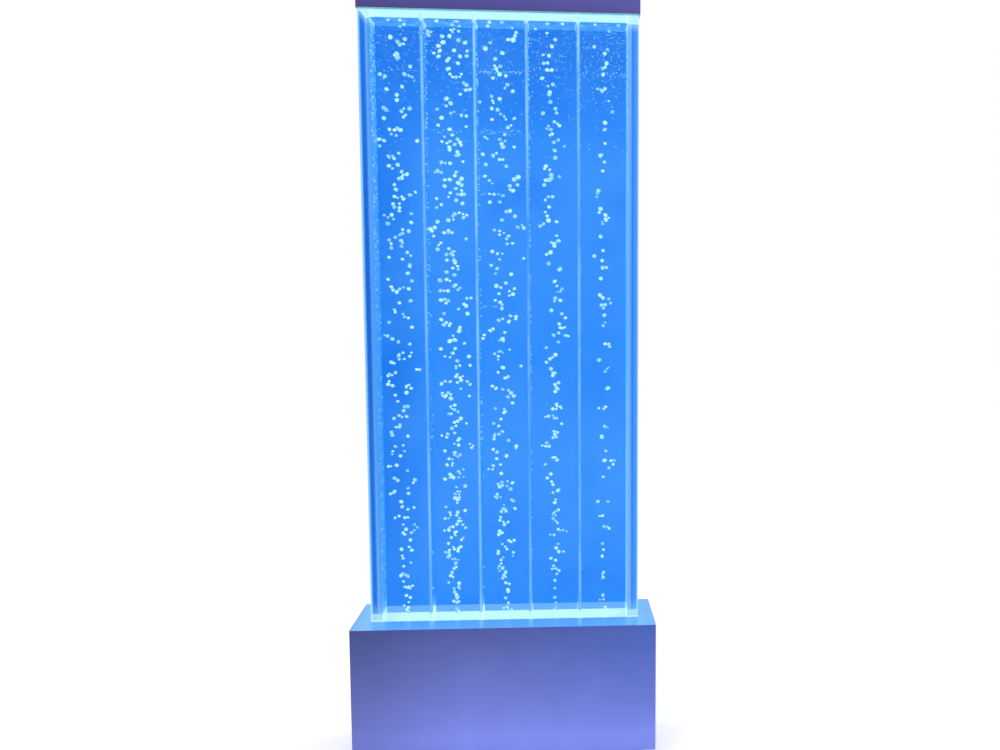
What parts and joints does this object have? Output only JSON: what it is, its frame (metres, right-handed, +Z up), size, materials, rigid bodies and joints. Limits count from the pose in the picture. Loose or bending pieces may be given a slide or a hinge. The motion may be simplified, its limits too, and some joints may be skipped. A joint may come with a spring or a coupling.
{
  "type": "bubble wall",
  "caption": "Tall slim floor-standing water panel with lit vertical bubble channels between a metal base cabinet and a metal cap.",
  "frame": {"origin": "centre of the footprint on the ground", "axes": "+Z up, +X to the right seen from the front, the front faces -Y"},
  "size_m": [0.7, 0.226, 1.83],
  "materials": {
    "painted_sheet": "satin powder coat, violet blue",
    "clear_acrylic": "clear, polished edges",
    "blue_acrylic": "translucent blue, lit from both ends",
    "opal_acrylic": "opal white, lit",
    "led_board": "white solder mask",
    "aluminium_profile": "mill finish",
    "zinc_steel": "zinc plated",
    "dark_steel": "dark grey primer",
    "white_plastic": "moulded",
    "clear_tube": "soft clear tube",
    "grey_plastic": "fine moulded grain",
    "black_rubber": "matt",
    "black_cable": "matt",
    "white_cable": "matt",
    "black_plastic": "moulded",
    "valve_brass": "turned",
    "red_plastic": "moulded",
    "blue_plastic": "moulded"
  },
  "bodies": {
    "cabinet": {"base_wrap": "painted_sheet", "base_top": "painted_sheet", "base_floor": "painted_sheet", "rear_panel": "painted_sheet", "rear_panel_screws": "zinc_steel", "foot_nuts": "zinc_steel", "tank_cradle": "dark_steel", "tank_floor": "opal_acrylic", "front_plate": "clear_acrylic", "back_plate": "blue_acrylic", "left_side_bar": "clear_acrylic", "right_side_bar": "clear_acrylic", "divider_1": "clear_acrylic", "divider_2": "clear_acrylic", "divider_3": "clear_acrylic", "divider_4": "clear_acrylic", "top_frame": "opal_acrylic", "lower_light_channel": "aluminium_profile", "lower_led_strips": "led_board", "air_nozzles": "white_plastic", "nozzle_nuts": "white_plastic", "check_valves": "white_plastic", "air_tubes": "clear_tube", "gang_valve": "white_plastic", "valve_bracket": "zinc_steel", "air_pump": "grey_plastic", "pump_mounts": "black_rubber", "led_driver": "grey_plastic", "terminal_block": "white_plastic", "wiring": "black_cable", "side_lead": "white_cable", "light_socket": "black_plastic", "cable_gland": "black_plastic", "switch_housing": "black_plastic", "drain_fitting": "white_plastic", "drain_hose": "clear_tube", "drain_valve": "valve_brass", "fixed_hinge_leaves": "zinc_steel"},
    "cap": {"cap_shell": "painted_sheet", "upper_light_channel": "aluminium_profile", "upper_led_strip": "led_board", "upper_diffuser": "opal_acrylic", "cap_hangers": "aluminium_profile", "light_plug": "black_plastic", "cap_lead": "white_cable"},
    "service_door": {"access_door": "painted_sheet", "door_hinge_leaves": "zinc_steel", "latch_body": "zinc_steel"},
    "latch": {"latch_knob": "black_plastic"},
    "rocker": {"power_rocker": "red_plastic"},
    "tap_1": {"tap_1": "blue_plastic"},
    "tap_2": {"tap_2": "blue_plastic"},
    "tap_3": {"tap_3": "blue_plastic"},
    "tap_4": {"tap_4": "blue_plastic"},
    "tap_5": {"tap_5": "blue_plastic"},
    "drain_lever": {"drain_lever": "red_plastic"},
    "foot_front_left": {"foot_1": "black_rubber"},
    "foot_front_right": {"foot_2": "black_rubber"},
    "foot_rear_left": {"foot_3": "black_rubber"},
    "foot_rear_right": {"foot_4": "black_rubber"}
  },
  "joints": [
    {"name": "cap_lift", "type": "slide", "parent": "cabinet", "child": "cap", "axis": [0, 0, 1], "range_m": [0, 0.15]},
    {"name": "door_hinge", "type": "hinge", "parent": "cabinet", "child": "service_door", "pos_m": [-0.14925, 0.088, 0.1715], "axis": [0, 0, 1], "range_deg": [0, 110]},
    {"name": "latch_turn", "type": "hinge", "parent": "service_door", "child": "latch", "pos_m": [0.122, 0.085, 0.1715], "axis": [0, -1, 0], "range_deg": [0, 90]},
    {"name": "rocker_tilt", "type": "hinge", "parent": "cabinet", "child": "rocker", "pos_m": [-0.27, 0.084, 0.1135], "axis": [-1, 0, 0], "range_deg": [0, 14]},
    {"name": "tap_1_turn", "type": "hinge", "parent": "cabinet", "child": "tap_1", "pos_m": [-0.06, 0.052, 0.1885], "axis": [0, 1, 0], "range_deg": [0, 90]},
    {"name": "tap_2_turn", "type": "hinge", "parent": "cabinet", "child": "tap_2", "pos_m": [-0.03, 0.052, 0.1885], "axis": [0, 1, 0], "range_deg": [0, 90]},
    {"name": "tap_3_turn", "type": "hinge", "parent": "cabinet", "child": "tap_3", "pos_m": [0, 0.052, 0.1885], "axis": [0, 1, 0], "range_deg": [0, 90]},
    {"name": "tap_4_turn", "type": "hinge", "parent": "cabinet", "child": "tap_4", "pos_m": [0.03, 0.052, 0.1885], "axis": [0, 1, 0], "range_deg": [0, 90]},
    {"name": "tap_5_turn", "type": "hinge", "parent": "cabinet", "child": "tap_5", "pos_m": [0.06, 0.052, 0.1885], "axis": [0, 1, 0], "range_deg": [0, 90]},
    {"name": "drain_turn", "type": "hinge", "parent": "cabinet", "child": "drain_lever", "pos_m": [0.2402, 0.091, 0.0635], "axis": [0, 0, -1], "range_deg": [0, 90]},
    {"name": "foot_front_left_screw", "type": "slide", "parent": "cabinet", "child": "foot_front_left", "axis": [0, 0, -1], "range_m": [0, 0.02]},
    {"name": "foot_front_right_screw", "type": "slide", "parent": "cabinet", "child": "foot_front_right", "axis": [0, 0, -1], "range_m": [0, 0.02]},
    {"name": "foot_rear_left_screw", "type": "slide", "parent": "cabinet", "child": "foot_rear_left", "axis": [0, 0, -1], "range_m": [0, 0.02]},
    {"name": "foot_rear_right_screw", "type": "slide", "parent": "cabinet", "child": "foot_rear_right", "axis": [0, 0, -1], "range_m": [0, 0.02]}
  ]
}
